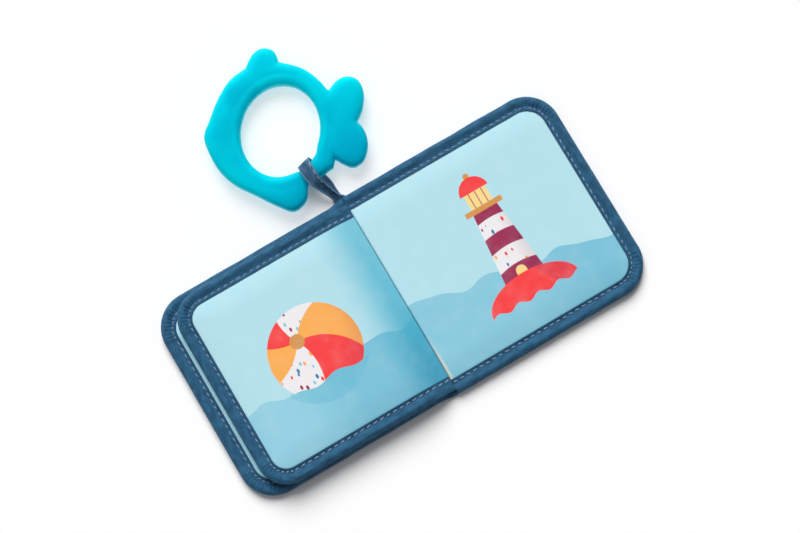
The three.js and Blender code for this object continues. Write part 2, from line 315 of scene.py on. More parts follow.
ball = {
    "middle": (-61.0, -3.0), "radius": 29.0, "afloat": -21.0,
    "cap": (-68.0, 7.0), "capSize": 4.6, "twist": 0.014, "seam": (0.515, 0.485),
    "lap": (0.23, 2.0, 1.5),
    "light": (-69.0, 6.0), "shade": (26, 40), "shadeBy": 0.22, "shadowPast": 3, "shadowBy": 0.3,
}
lighthouse = {
    "middle": (71.0, -2.0), "halfFoot": 13.8, "footLevel": -32, "taper": 0.105, "tower": (-36, 21),
    "bow": 0.012, "bands": ((-11, 6), (10, 5)), "door": (3.4, -22.5), "shade": (1, 12), "shadeBy": 0.2,
    "afloat": -40.0, "lap": (0.45, 0.6, 1.3),
    "rock": (30.0, 16.0), "rockScale": 14, "rockShade": (-9, -7), "rockShadeBy": 0.25,
    "gallery": (12.6, 20.6, 24), "lantern": (7.4, 24, 34), "bars": 0.72, "barEdge": (0.25, 0.15),
    "roof": {"middle": (0, 33.4), "radius": 9.6, "eaves": 33.8},
    "knob": {"middle": (0, 44), "radius": 1.9},
}
printing = {
    "thread": 0.62, "weaveDepth": 0.035, "edge": 0.3, "faded": 0.8,
    "markSize": 3.1, "markTurn": 0.7, "markSquash": 0.55, "markScatter": 0.75, "markEdge": (0.3, 0.25),
    "wornSize": 11.0, "worn": 0.07, "threadShade": 0.05, "fuzzSize": 0.7,
    "foldShadeFrom": (-34, -4), "foldShadeDeeper": (10, -55), "marginEnds": (2.8, 1.3), "marginTail": (-24, -56),
}


def weave(look, x, y, pitch):
    turn = 2 * math.pi / pitch
    return look.wave(x * turn) * look.wave(y * turn)


def swellLine(look, x, wave):
    long = look.wave(x * (1 / wave["length"])) * wave["swell"]
    ripple = sea["ripple"]
    small = look.wave(x * (ripple["often"] / wave["length"]) + ripple["shift"])
    short = small * (ripple["share"] * wave["swell"])
    return x * wave["slope"] + (long + short + wave["level"])


def inside(look, far):
    return look.ramp(far, printing["edge"], -printing["edge"])


def awayFrom(look, x, y, middle):
    across = x - middle[0]
    along = y - middle[1]
    return look.root(across * across + along * along)


def lapping(look, x, motif):
    # the line of small waves in front of a motif
    often, shift, high = motif["lap"]
    return look.wave(x * often + shift) * high + motif["afloat"]


def slab(look, x, y, halfWidth, low, high):
    return look.most(abs(x) - halfWidth, low - y, y - high)


def marked(look, spot, ground):
    # small scattered marks on white
    turn = (0, 0, printing["markTurn"])
    squash = (1.0, printing["markSquash"], 1.0)
    turned = look.node("ShaderNodeMapping", {}, {"Vector": spot, "Rotation": turn, "Scale": squash})
    often = 1 / (printing["markSize"] * mm)
    values = {"Vector": turned, "Scale": often, "Randomness": printing["markScatter"]}
    cells = look.node("ShaderNodeTexVoronoi", {}, values)
    chance = look.node("ShaderNodeSeparateColor", {}, {0: look.other(cells, "Color")})
    stops = [inks[name] for name in ("red", "blue", "orange", "maroon", "water")]
    colour = look.node("ShaderNodeValToRGB", {"stops": stops}, {0: chance})
    return look.mix(look.ramp(cells, *printing["markEdge"]), ground, colour)


def seaPrint(look, x, y, wave):
    water = look.mix(look.ramp(x, *wave["deeper"]), inks[wave["shallow"]], inks["deepWater"])
    return look.mix(inside(look, y - swellLine(look, x, wave)), inks["sky"], water)


def ballPrint(look, spot, x, y, ground):
    away = awayFrom(look, x, y, ball["middle"])
    fromCap = awayFrom(look, x, y, ball["cap"])
    angle = look.sum("ARCTAN2", y - ball["cap"][1], x - ball["cap"][0])
    # six gores in three colours
    gore = look.sum("FLOORED_MODULO", angle * (3 / math.pi) + fromCap * ball["twist"] + 6, 3.0)
    white = marked(look, spot, inks["white"])
    colour = look.mix(look.ramp(abs(gore - 1.5), *ball["seam"]), inks["orange"], white)
    colour = look.mix(look.ramp(abs(gore - 2.5), *ball["seam"]), colour, inks["red"])
    colour = look.mix(inside(look, fromCap - ball["capSize"]), colour, inks["ochre"])
    shade = look.ramp(awayFrom(look, x, y, ball["light"]), *ball["shade"])
    colour = look.mix(shade * ball["shadeBy"], colour, inks["maroon"])
    afloat = lapping(look, x, ball)
    shape = look.most(away - ball["radius"], afloat - y)
    under = look.most(away - (ball["radius"] + ball["shadowPast"]), y - afloat)
    ground = look.mix(inside(look, under) * ball["shadowBy"], ground, inks["deep"])
    return look.mix(inside(look, shape), ground, colour)


def lighthousePrint(look, spot, x, y, ground):
    x = x - lighthouse["middle"][0]
    y = y - lighthouse["middle"][1]
    # tower with two pale bands
    low, high = lighthouse["tower"]
    bow = y + x * x * lighthouse["bow"]
    halfWidth = lighthouse["halfFoot"] - (y - lighthouse["footLevel"]) * lighthouse["taper"]
    tower = look.most(abs(x) - halfWidth, y - high, low - y)
    band = look.least(*[abs(bow - level) - half for level, half in lighthouse["bands"]])
    colour = look.mix(inside(look, band), inks["maroon"], marked(look, spot, inks["white"]))
    doorHalf, arch = lighthouse["door"]
    opening = slab(look, x, y, doorHalf, lighthouse["afloat"], arch)
    door = look.least(opening, awayFrom(look, x, y, (0, arch)) - doorHalf)
    colour = look.mix(inside(look, door), colour, inks["straw"])
    shade = look.ramp(x, *lighthouse["shade"])
    colour = look.mix(shade * lighthouse["shadeBy"], colour, inks["darkMaroon"])
    ground = look.mix(inside(look, tower), ground, colour)
    # round rock in the water, over the tower's foot
    surface = lapping(look, x, lighthouse)
    across = x / lighthouse["rock"][0]
    up = (y - lighthouse["afloat"]) / lighthouse["rock"][1]
    mound = (look.root(across * across + up * up) - 1) * lighthouse["rockScale"]
    shade = look.ramp(x + y * 0.6, *lighthouse["rockShade"])
    colour = look.mix(shade * lighthouse["rockShadeBy"], inks["red"], inks["maroon"])
    ground = look.mix(inside(look, look.most(mound, surface - y)), ground, colour)
    # gallery, lantern and roof
    ground = look.mix(inside(look, slab(look, x, y, *lighthouse["gallery"])), ground, inks["ochre"])
    bars = look.ramp(abs(look.wave(x * lighthouse["bars"])), *lighthouse["barEdge"])
    glass = look.mix(bars, inks["straw"], inks["maroon"])
    ground = look.mix(inside(look, slab(look, x, y, *lighthouse["lantern"])), ground, glass)
    dome = lighthouse["roof"]
    roof = look.most(awayFrom(look, x, y, dome["middle"]) - dome["radius"], dome["eaves"] - y)
    knob = awayFrom(look, x, y, lighthouse["knob"]["middle"]) - lighthouse["knob"]["radius"]
    ground = look.mix(inside(look, knob), ground, inks["ochre"])
    return look.mix(inside(look, roof), ground, inks["red"])


def printedCloth(name, art):
    look = Look(name, Specular_IOR_Level=0.25, Sheen_Weight=0.08, Sheen_Roughness=0.5)
    spot = look.lay()
    x, y = look.parts(spot)[:2]
    colour = art(look, spot, x, y)
    threads = weave(look, x, y, printing["thread"])
    worn = look.speckle(spot, printing["wornSize"], 3.0)
    colour = look.mix(look.ramp(worn, 0.4, 0.8) * printing["worn"], colour, inks["white"])
    colour = look.mix(look.ramp(threads, 0.2, -1.0) * printing["threadShade"], colour, inks["blue"])
    fuzz = look.speckle(spot, printing["fuzzSize"], 3.0)
    nap = look.bump(threads * 0.5 + fuzz, printing["weaveDepth"])
    return look.feed(Base_Color=colour, Roughness=fuzz * 0.25 + 0.68, Normal=nap)


def leafArt(look, spot, x, y):
    colour = ballPrint(look, spot, x, y, seaPrint(look, x, y, sea["leaf"]))
    # painted shade: the print turns a deeper blue where the cloth runs down into the fold, most towards the
    # tail
    fold = look.ramp(x, *printing["foldShadeFrom"]) * (look.ramp(y, 70, -70) * 0.3 + 0.7)
    foldShadeInk = look.mix(look.ramp(y, *printing["foldShadeDeeper"]), inks["deep"], inks["fold"])
    return look.mix(fold, colour, foldShadeInk)


def coverArt(look, spot, x, y):
    colour = lighthousePrint(look, spot, x, y, seaPrint(look, x, y, sea["cover"]))
    # bare cloth at the tail of the fold edge
    margin = look.ramp(x, *printing["marginEnds"]) * look.ramp(y, *printing["marginTail"])
    return look.mix(margin * 0.85, colour, inks["margin"])


def plainArt(look, spot, x, y):
    return look.mix(printing["faded"], seaPrint(look, x, y, sea["leaf"]), inks["pale"])


outerWaves = {"often": 0.14, "high": 2.6, "row": 11, "edge": 0.08}


def outerArt(look, spot, x, y):
    # broad even waves in two blues
    bent = y + look.wave(x * outerWaves["often"]) * outerWaves["high"]
    rows = look.wave(bent * (math.pi / outerWaves["row"]))
    return look.mix(look.ramp(rows, -outerWaves["edge"], outerWaves["edge"]), inks["water"], inks["sky"])


foamCells = {"size": 0.9, "grain": 2.5, "depth": 0.3, "pale": ink(247, 244, 234), "dull": ink(232, 226, 206)}


def foamLook():
    look = Look("openFoam", Specular_IOR_Level=0.2)
    spot = look.lay()
    values = {"Vector": spot, "Scale": 1 / (foamCells["size"] * mm)}
    cells = look.node("ShaderNodeTexVoronoi", {}, values)
    grain = look.speckle(spot, foamCells["grain"], 3.0)
    colour = look.mix(grain, foamCells["pale"], foamCells["dull"])
    pores = look.bump(cells, foamCells["depth"])
    return look.feed(Base_Color=colour, Roughness=grain * 0.1 + 0.88, Normal=pores)


tapeCloth = {
    "rib": 0.55, "slant": 0.8, "crossing": 1.7, "depth": 0.05, "lip": (1.3, 0.7),
    "streak": (0.5, 1.0, 1.0), "streakSize": 3.2, "fineSize": 0.8,
    "sheen": ink(120, 165, 205), "worn": ink(78, 132, 166), "hollow": ink(14, 52, 78),
    # lip is a tone painted along a tape's long edges: painted shade on the edging, painted highlight on the
    # strap
    "edging": {"girth": 26.6, "dark": ink(20, 75, 108), "light": ink(42, 104, 142), "lip": ink(22, 66, 96)},
    "loop": {"girth": 10.0, "dark": ink(24, 58, 86), "light": ink(62, 106, 142), "lip": ink(120, 156, 190)},
}


def tapeLook(name, tones):
    # ribbed tape: the lay runs along the tape and then across it
    look = Look(name, Specular_IOR_Level=0.3, Sheen_Weight=0.2, Sheen_Roughness=0.45)
    look.shader.inputs["Sheen Tint"].default_value = tapeCloth["sheen"]
    spot = look.lay()
    along, across = look.parts(spot)[:2]
    turn = 2 * math.pi / tapeCloth["rib"]
    ribs = look.wave((along + across * tapeCloth["slant"]) * turn)
    threads = look.wave((along - across * tapeCloth["crossing"]) * turn)
    streak = look.node("ShaderNodeMapping", {}, {"Vector": spot, "Scale": tapeCloth["streak"]})
    faded = look.speckle(streak, tapeCloth["streakSize"], 4.0)
    fine = look.speckle(spot, tapeCloth["fineSize"], 3.0)
    colour = look.mix(look.ramp(faded, 0.3, 0.72), tones["dark"], tones["light"])
    colour = look.mix(look.ramp(fine, 0.45, 0.8) * 0.35, colour, tapeCloth["worn"])
    colour = look.mix(look.ramp(ribs, 0.0, -1.0) * 0.3, colour, tapeCloth["hollow"])
    # painted shade: the edging tape is darker along its inner edges, where it meets the page; the strap's
    # edges are lighter, a painted highlight
    half = tones["girth"] / 2
    lip = look.ramp(abs(across - half), half - tapeCloth["lip"][0], half - tapeCloth["lip"][1])
    colour = look.mix(lip * 0.5, colour, tones["lip"])
    nap = look.bump(ribs * 0.6 + threads * 0.3 + fine, tapeCloth["depth"])
    return look.feed(Base_Color=colour, Roughness=fine * 0.3 + 0.55, Normal=nap)


thread = {"slant": 1.6, "ply": 0.022, "depth": 0.08, "dark": ink(132, 156, 192), "light": ink(200, 212, 232)}


def threadLook():
    look = Look("paleThread", Specular_IOR_Level=0.4, Sheen_Weight=0.1)
    spot = look.lay()
    x, y, z = look.parts(spot)
    ply = look.wave((x * thread["slant"] + y + z) * thread["ply"])
    colour = look.mix(look.ramp(ply, -0.6, 0.8), thread["dark"], thread["light"])
    twist = look.bump(ply, thread["depth"])
    return look.feed(Base_Color=colour, Roughness=ply * 0.08 + 0.55, Normal=twist)


# deep, way and broad paint shade on the side turned from the light; thin is painted light, lighter edges as
# if lit through
ringTone = {
    "deep": ink(0, 156, 189), "body": ink(0, 197, 213), "thin": ink(0, 228, 240),
    "way": (0.354, 1.37), "broad": (-162, -108), "cloudSize": 22.0, "fineSize": 0.9, "depth": 0.012,
}


def ringLook():
    look = Look("softRing", Specular_IOR_Level=0.25, IOR=1.41, Subsurface_Weight=0.9, Subsurface_Scale=0.02)
    look.shader.inputs["Subsurface Radius"].default_value = (0.2, 1.0, 1.1)
    look.shader.inputs["Specular Tint"].default_value = ink(0, 225, 240)
    spot = look.place()
    x, y = look.parts(spot)[:2]
    cloud = look.speckle(spot, ringTone["cloudSize"], 2.0)
    thin = look.kept("thin")
    # painted shade: the colour is deeper towards the strap and the lower tail, the side turned from the
    # light, and deeper in random clouds
    way = ringTone["way"]
    broad = look.ramp(x * way[0] - y * way[1], *ringTone["broad"])
    deep = look.most(look.ramp(cloud, 0.4, 0.75) * 0.4, broad * 0.8)
    colour = look.mix(deep, ringTone["body"], ringTone["deep"])
    # painted light: the edges and the hole's wall, near the ring's middle height, are lighter, as if lit
    # through the clear silicone
    colour = look.mix(look.ramp(thin, 0.3, 0.8) * 0.85, colour, ringTone["thin"])
    fine = look.speckle(spot, ringTone["fineSize"], 3.0)
    smooth = cloud * 0.12 + fine * 0.06 + 0.3
    return look.feed(Base_Color=colour, Roughness=smooth, Normal=look.bump(fine, ringTone["depth"]))


looks = {
    "leafPrint": printedCloth("leafPrint", leafArt),
    "coverPrint": printedCloth("coverPrint", coverArt),
    "plainPrint": printedCloth("plainPrint", plainArt),
    "outerCloth": printedCloth("outerCloth", outerArt),
    "foam": foamLook(),
    "tape": tapeLook("ribbedTape", tapeCloth["edging"]),
    "strap": tapeLook("strapTape", tapeCloth["loop"]),
    "thread": threadLook(),
    "ring": ringLook(),
}
print("materials made:", len(looks))


def paint(obj, look):
    obj.data.materials.clear()
    obj.data.materials.append(looks[look] if isinstance(look, str) else look)


# faces of a sheet or a tape that meet at more than this angle, in degrees, keep a sharp edge
sharp = {"sheet": 50, "tape": 60}


def flipFaces(obj):
    pick(obj)
    bpy.ops.object.mode_set(mode="EDIT")
    bpy.ops.mesh.select_all(action="SELECT")
    bpy.ops.mesh.flip_normals()
    bpy.ops.object.mode_set(mode="OBJECT")


def smoothShade(obj, angle):
    pick(obj)
    bpy.ops.object.shade_smooth_by_angle(angle=math.radians(angle))


# the pages, measured from the fold outwards, in millimetres
covers = {"width": 140.0, "height": 139.0, "corner": 22.0, "reach": 9.5, "rim": 3.1, "drop": 0.0}
pages = {
    "back_cover": {**covers, "start": 0.15, "outerStart": 3.0, "side": 1},
    "front_cover": {**covers, "width": 137.3, "height": 136.1, "drop": 0.35, "start": 12.3, "side": -1},
    "middle_leaf": {
        **covers, "width": 125.5, "height": 131.2, "corner": 19.0, "reach": 9.3, "drop": 1.1,
        "start": 0.1, "side": -1,
    },
}
pad = {
    "thickness": 7.0, "panel": 0.9, "foamEdge": 0.45, "foamLip": 1.3, "foamStart": 1.2, "foamGap": 0.2,
    "panelEdge": 1.45, "lip": 2.4, "dip": 2.2, "shoulder": 14.0, "step": 1.6,
}
foldEdge = {"radius": 1.4, "down": 5.0, "flat": 1.8, "bend": 8.0, "step": 0.6}
gutter = {"spine": 12.0, "width": 27.0, "gap": 0.1, "pitch": 7.3, "sewn": 4.6, "left": 2.2}


def insetAt(page, x, y):
    fore = page["width"] - page["side"] * x
    side = page["height"] / 2 - abs(y)
    corner = page["corner"]
    if fore < corner and side < corner:
        return corner - math.hypot(corner - fore, corner - side)
    return min(fore, side)


def intoGutter(obj):
    # lays the leaf on the front cover and dips its sewn edge into the fold
    def place(spot):
        fromFold = -spot.x
        dip = eased((gutter["spine"] - fromFold) / (gutter["spine"] - gutter["gap"]))
        thin = eased((gutter["width"] - fromFold) / (gutter["width"] - gutter["gap"]))
        base = mixed(gutter["pitch"], gutter["sewn"], dip)
        return spot.x, spot.y, base + spot.z * mixed(1, gutter["left"] / pad["thickness"], thin)

    moveEach(obj, place)


def roundCorners(page, spot):
    radius = page["corner"] - page["rim"]
    fore = page["side"] * spot.x - (page["width"] - page["corner"])
    over = abs(spot.y) - (page["height"] / 2 - page["corner"])
    if fore <= 0 or over <= 0:
        return spot.x, spot.y
    u = fore / radius
    w = over / radius
    x = page["width"] - page["corner"] + radius * u * math.sqrt(1 - w * w / 2)
    y = page["height"] / 2 - page["corner"] + radius * w * math.sqrt(1 - u * u / 2)
    return page["side"] * x, math.copysign(y, spot.y)


def pageGrid(name, page, start, turned):
    # columns run from the fold to the fore-edge, closer together where the cloth turns down or bends
    fore = page["width"] - page["rim"]
    half = page["height"] / 2 - page["rim"]
    low = start - foldEdge["down"] if turned else start
    even = start + (foldEdge["bend"] if page is pages["middle_leaf"] else foldEdge["flat"])
    near = round((even - low) / foldEdge["step"])
    columns = near + round((fore - even) / pad["step"])
    sheet = flatGrid(name, (0, -half), (columns, half), columns, round(2 * half / pad["step"]))

    def spread(spot):
        if spot.x < near:
            fromFold = mixed(low, even, spot.x / near)
        else:
            fromFold = mixed(even, fore, (spot.x - near) / (columns - near))
        rounded = roundCorners(page, Vector((page["side"] * fromFold, spot.y, 0)))
        return (*rounded, 0)

    moveEach(sheet, spread)
    if page["side"] < 0:
        flipFaces(sheet)
    keepLay(sheet)
    return sheet


def rise(page, x, y, edge, lip, middle):
    # low under the tape's seam, up again at its inner edge, then a soft crown
    inside = insetAt(page, x, y) - page["reach"]
    crown = math.sin(min(max(inside / pad["shoulder"], 0), 1) * math.pi / 2)
    return mixed(mixed(edge, lip, eased(1 + inside / pad["dip"])), middle, crown)


def pagePanel(body, layer, start, face):
    # face is 1 for the upper face of a page and -1 for the lower one
    page = pages[body]
    panel = pageGrid(f"{body}_{layer}_cloth", page, start, face > 0)
    middle = pad["thickness"] / 2
    radius = foldEdge["radius"]

    def place(spot):
        high = rise(page, spot.x, spot.y, pad["panelEdge"], pad["lip"], middle)
        over = start + radius - page["side"] * spot.x
        if face < 0 or over <= 0:
            return spot.x, spot.y - page["drop"], middle + face * high
        bend = min(over / radius, math.pi / 2)
        down = radius * (1 - math.cos(bend)) + max(over - radius * math.pi / 2, 0)
        x = start + radius * (1 - math.sin(bend))
        return page["side"] * x, spot.y - page["drop"], middle + high * (1 - down / middle)

    moveEach(panel, place)
    applyModifier(panel, "SOLIDIFY", thickness=pad["panel"] * mm, offset=-face)
    smoothShade(panel, sharp["sheet"])
    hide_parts(f"{body}_{layer}")
    return panel


def pageFoam(body):
    page = pages[body]
    foam = pageGrid(f"{body}_foam_core", page, page["start"] + pad["foamStart"], False)
    middle = pad["thickness"] / 2
    full = middle - pad["panel"] - pad["foamGap"]

    def place(spot):
        high = rise(page, spot.x, spot.y, pad["foamEdge"], pad["foamLip"], full)
        return spot.x, spot.y - page["drop"], middle + high

    moveEach(foam, place)
    pick(foam)
    bpy.ops.object.mode_set(mode="EDIT")
    bpy.ops.mesh.select_all(action="SELECT")
    bpy.ops.mesh.duplicate()
    centre = (0, 0, middle * mm)
    bpy.ops.transform.mirror(constraint_axis=(False, False, True), center_override=centre)
    bpy.ops.mesh.flip_normals()
    bpy.ops.mesh.select_all(action="DESELECT")
    bpy.ops.mesh.select_non_manifold()
    bpy.ops.mesh.bridge_edge_loops()
    bpy.ops.object.mode_set(mode="OBJECT")
    smoothShade(foam, sharp["sheet"])
    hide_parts(f"{body}_foam")
    return foam


# binding tape: section from its inner edge to its outermost line, as inset and height over the middle
tape = {
    "section": [
        (9.5, 2.85), (9.05, 3.0), (8.4, 2.65), (7.35, 2.1), (6.2, 2.2), (4.7, 2.8), (3.2, 3.2), (1.8, 2.85),
        (0.6, 1.75), (0.0, 0.0),
    ],
    "girth": 26.6,
    "girthSteps": 36,
    "step": 0.8,
    "thickness": 0.5,
    "roll": 5,  # inset at which it lies flat
    "ripple": 0.12,
    "gather": 0.3,
    "gatherPitch": 2.9,
    "gatherSway": 2.5,
    "gatherReach": 7.4,
    "gatherTurn": 2.6,
    "gatherEnds": (0.75, 0.45),  # as shares of a corner's arc
    "wander": 0.22,
    "wanderReach": 6,
    "endRun": 2.2,
    "endHeight": 0.8,
}
stitch = {
    "inset": 7.4, "height": 2.25, "pitch": 4.5, "length": 2.9, "width": 0.75, "rise": 0.6,
    "lean": 7.0, "aside": 0.2, "longer": 0.15,
}


def smoothLine(points, count):
    # evenly spaced points on a smooth line through the given ones
    fineSteps = 20
    spots = [Vector(p) for p in points]
    ends = [2 * spots[0] - spots[1], *spots, 2 * spots[-1] - spots[-2]]
    fine = []
    for i in range(1, len(ends) - 2):
        before, a, b, after = ends[i - 1:i + 3]
        for step in range(fineSteps):
            t = step / fineSteps
            pull = (b - before) * t + (2 * before - 5 * a + 4 * b - after) * t * t
            fine.append(a + (pull + (3 * a - before - 3 * b + after) * t ** 3) / 2)
    fine.append(spots[-1])
    return evenly(fine, count)


def evenly(line, count):
    runs = [0.0]
    for a, b in zip(line, line[1:]):
        runs.append(runs[-1] + (b - a).length)
    picked = []
    at = 0
    for i in range(count + 1):
        goal = runs[-1] * i / count
        while at < len(line) - 2 and runs[at + 1] < goal:
            at += 1
        span = max(runs[at + 1] - runs[at], 1e-9)
        picked.append(line[at].lerp(line[at + 1], (goal - runs[at]) / span))
    return picked


def tapeSection(scale):
    upper = [(inset * scale, height) for inset, height in tape["section"]]
    lower = [(inset, -height) for inset, height in reversed(upper[:-1])]
    return smoothLine(upper + lower, tape["girthSteps"])


def edgeRuns(page):
    straight = page["width"] - page["corner"] - page["start"]
    return straight, math.pi / 2 * page["corner"], page["height"] - 2 * page["corner"]


def edgeLength(page):
    straight, arc, fore = edgeRuns(page)
    return 2 * (straight + arc) + fore


def edgeSpot(page, along, inset):
    # a point beside the page's edge line: along the head, round the fore-edge, back along the tail
    straight, arc, fore = edgeRuns(page)
    corner = page["corner"]
    top = page["height"] / 2
    half = straight + arc + fore / 2
    sign = 1 if along <= half else -1
    run = along if sign > 0 else 2 * half - along
    if run <= straight:
        x = page["start"] + run
        y = top - inset
    elif run <= straight + arc:
        angle = math.pi / 2 * (1 - (run - straight) / arc)
        x = page["width"] - corner + (corner - inset) * math.cos(angle)
        y = top - corner + (corner - inset) * math.sin(angle)
    else:
        x = page["width"] - inset
        y = top - corner - (run - straight - arc)
    return page["side"] * x, sign * y - page["drop"]


def cornerShare(page, along):
    # 1 in the middle of a rounded corner, 0 on the straights
    straight, arc, fore = edgeRuns(page)
    run = min(along, edgeLength(page) - along)
    reach, fade = tape["gatherEnds"]
    return eased((reach * arc - abs(run - straight - arc / 2)) / (fade * arc))


def tapeStrip(name, length):
    columns = round(length / tape["step"])
    strip = flatGrid(name, (0, 0), (length, tape["girth"]), columns, tape["girthSteps"])
    keepLay(strip)
    return strip


def pageBinding(body):
    page = pages[body]
    section = tapeSection(page["reach"] / covers["reach"])
    length = edgeLength(page)
    strip = tapeStrip(f"{body}_binding_tape", length)
    middle = pad["thickness"] / 2

    def place(spot):
        inset, height = section[round(spot.y / tape["girth"] * tape["girthSteps"])]
        along = spot.x
        flat = eased(inset / tape["roll"])
        side = math.copysign(1, height)
        share = cornerShare(page, along)
        sway = tape["gatherSway"] * noise.noise((along / 9, side, 0))
        pleat = math.sin(along * 2 * math.pi / tape["gatherPitch"] + sway)
        crest = math.sin(min(inset / tape["gatherReach"], 1) * tape["gatherTurn"])
        ripple = noise.noise((along / 6, inset / 4, 3 * side)) * tape["ripple"]
        bulge = side * flat * (share * tape["gather"] * pleat * crest + ripple)
        drift = noise.noise((along / 17, 5, page["side"])) * tape["wander"]
        fromEnd = min(max(min(along, length - along) / tape["endRun"], 0), 1)
        rounded = mixed(tape["endHeight"], 1, math.sin(fromEnd * math.pi / 2))
        x, y = edgeSpot(page, along, inset + drift * eased(1 - inset / tape["wanderReach"]))
        return x, y, middle + (height + bulge) * rounded

    moveEach(strip, place)
    applyModifier(strip, "SOLIDIFY", thickness=tape["thickness"] * mm, offset=-page["side"])
    smoothShade(strip, sharp["tape"])
    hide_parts(f"{body}_binding")
    return strip


def oneStitch():
    clearSelection()
    bpy.ops.mesh.primitive_uv_sphere_add(segments=8, ring_count=5, radius=0.5, rotation=(0, math.pi / 2, 0))
    made = bpy.context.object
    bpy.ops.object.transform_apply(location=False, rotation=True, scale=False)
    keepLay(made)
    made.scale = (stitch["length"] * mm, stitch["width"] * mm, stitch["rise"] * mm)
    bpy.ops.object.transform_apply(location=False, rotation=False, scale=True)
    bpy.ops.object.shade_smooth()
    return made


def stitchRow(name, spots):
    # copies of one stitch in a straight row; each spot is along, across, height and a small wobble
    first = oneStitch()
    copies = []
    for along, across, height, wobble in spots:
        one = first.copy()
        one.data = first.data.copy()
        scene.collection.objects.link(one)
        one.location = Vector((along, across + stitch["aside"] * wobble, height)) * mm
        one.rotation_euler.z = math.radians(stitch["lean"] * (1 + wobble))
        one.scale.x = 1 + stitch["longer"] * wobble
        copies.append(one)
    bpy.data.objects.remove(first)
    clearSelection()
    for one in copies:
        one.select_set(True)
    bpy.context.view_layer.objects.active = copies[0]
    bpy.ops.object.join()
    row = bpy.context.object
    row.name = row.data.name = name
    bpy.ops.object.transform_apply(location=True, rotation=True, scale=True)
    return row


def pageStitches(body):
    page = pages[body]
    inset = stitch["inset"] * page["reach"] / covers["reach"]
    count = round(edgeLength(page) / stitch["pitch"])
    pitch = edgeLength(page) / count
    spots = []
    for face in (1, -1):
        for i in range(count):
            wobble = noise.noise((i * 0.71, 3.3 * face, 7 * page["side"] + page["width"]))
            spots.append(((i + 0.5) * pitch, inset, face * stitch["height"], wobble))
    row = stitchRow(f"{body}_stitches", spots)
    middle = pad["thickness"] / 2
    moveEach(row, lambda spot: (*edgeSpot(page, spot.x, spot.y), middle + spot.z))
    if page["side"] < 0:
        flipFaces(row)
    return row


for body, page in pages.items():
    leaf = body == "middle_leaf"
    names = ("lower_panel", "upper_panel") if leaf else ("outer_panel", "inner_panel")
    lower = pagePanel(body, names[0], page.get("outerStart", page["start"]), -1)
    upper = pagePanel(body, names[1], page["start"], 1)
    foam = pageFoam(body)
    binding = pageBinding(body)
    stitches = pageStitches(body)
    paint(lower, "plainPrint" if leaf else "outerCloth")
    paint(upper, {"back_cover": "coverPrint", "front_cover": "plainPrint", "middle_leaf": "leafPrint"}[body])
    paint(foam, "foam")
    paint(binding, "tape")
    paint(stitches, "thread")
    edgeLength(page) * mm
    for piece in (lower, upper, foam, binding, stitches):
        if leaf:
            intoGutter(piece)
            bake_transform(piece)
        else:
            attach(piece, body)
    print(body, "pieces made")


# spine: cloth outside, lining inside, a flat tape over each end
spine = {
    "right": 2.7, "left": -12.1, "clothHalf": 65.6, "liningRight": -0.3, "liningHalf": 51.8,
    "liningLow": 1.4, "step": 0.7, "tapeRight": -0.1, "lowTape": 0.52, "highTape": 0.84, "base": 0.3,
    "clothLow": 0.1, "clothLift": 1.6, "liftFrom": 50, "liftRun": 9, "tapeMiddle": 3.16, "ripple": 0.15,
}


def spineSheet(name, right, half, level):
    columns = round((right - spine["left"]) / spine["step"])
    sheet = flatGrid(name, (spine["left"], -half), (right, half), columns, round(half))
    keepLay(sheet)
    moveEach(sheet, lambda spot: (spot.x, spot.y, level(spot)))
    applyModifier(sheet, "SOLIDIFY", thickness=pad["panel"] * mm, offset=1)
    smoothShade(sheet, sharp["sheet"])
    return sheet


def clothLevel(spot):
    # the cloth rises into the tape at both ends
    lifted = eased((abs(spot.y) - spine["liftFrom"]) / spine["liftRun"])
    return spine["clothLow"] + spine["clothLift"] * lifted


def liningLevel(_):
    return spine["liningLow"]


def spineBinding(name, sign):
    # the tape steps down from the covers to the thin cloth of the fold
    section = tapeSection(1.0)
    length = spine["tapeRight"] - spine["left"]
    strip = tapeStrip(f"{name}_tape", length)
    fore = pages["front_cover"]
    ends = (covers["height"] / 2, fore["height"] / 2 - sign * fore["drop"])

    def place(spot):
        inset, height = section[round(spot.y / tape["girth"] * tape["girthSteps"])]
        share = spot.x / length
        flat = mixed(spine["lowTape"], spine["highTape"], eased(share))
        ripple = noise.noise((spot.x / 4, inset / 4, sign * 7)) * spine["ripple"]
        y = sign * (mixed(*ends, eased(share)) - inset)
        z = spine["base"] + (spine["tapeMiddle"] + height) * flat + ripple * eased(inset / tape["roll"])
        return spine["tapeRight"] - spot.x, y, z

    moveEach(strip, place)
    applyModifier(strip, "SOLIDIFY", thickness=tape["thickness"] * mm, offset=sign)
    smoothShade(strip, sharp["tape"])
    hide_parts(name)
    return strip


spineCloth = spineSheet("spine_cloth_sheet", spine["right"], spine["clothHalf"], clothLevel)
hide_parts("spine_cloth")
spineLining = spineSheet("spine_lining_sheet", spine["liningRight"], spine["liningHalf"], liningLevel)
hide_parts("spine_lining")
spineHead = spineBinding("spine_head_binding", 1)
spineTail = spineBinding("spine_tail_binding", -1)
paint(spineCloth, "outerCloth")
paint(spineLining, "plainPrint")
paint(spineHead, "tape")
paint(spineTail, "tape")
for piece in (spineCloth, spineLining, spineHead, spineTail):
    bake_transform(piece)
print("spine made")


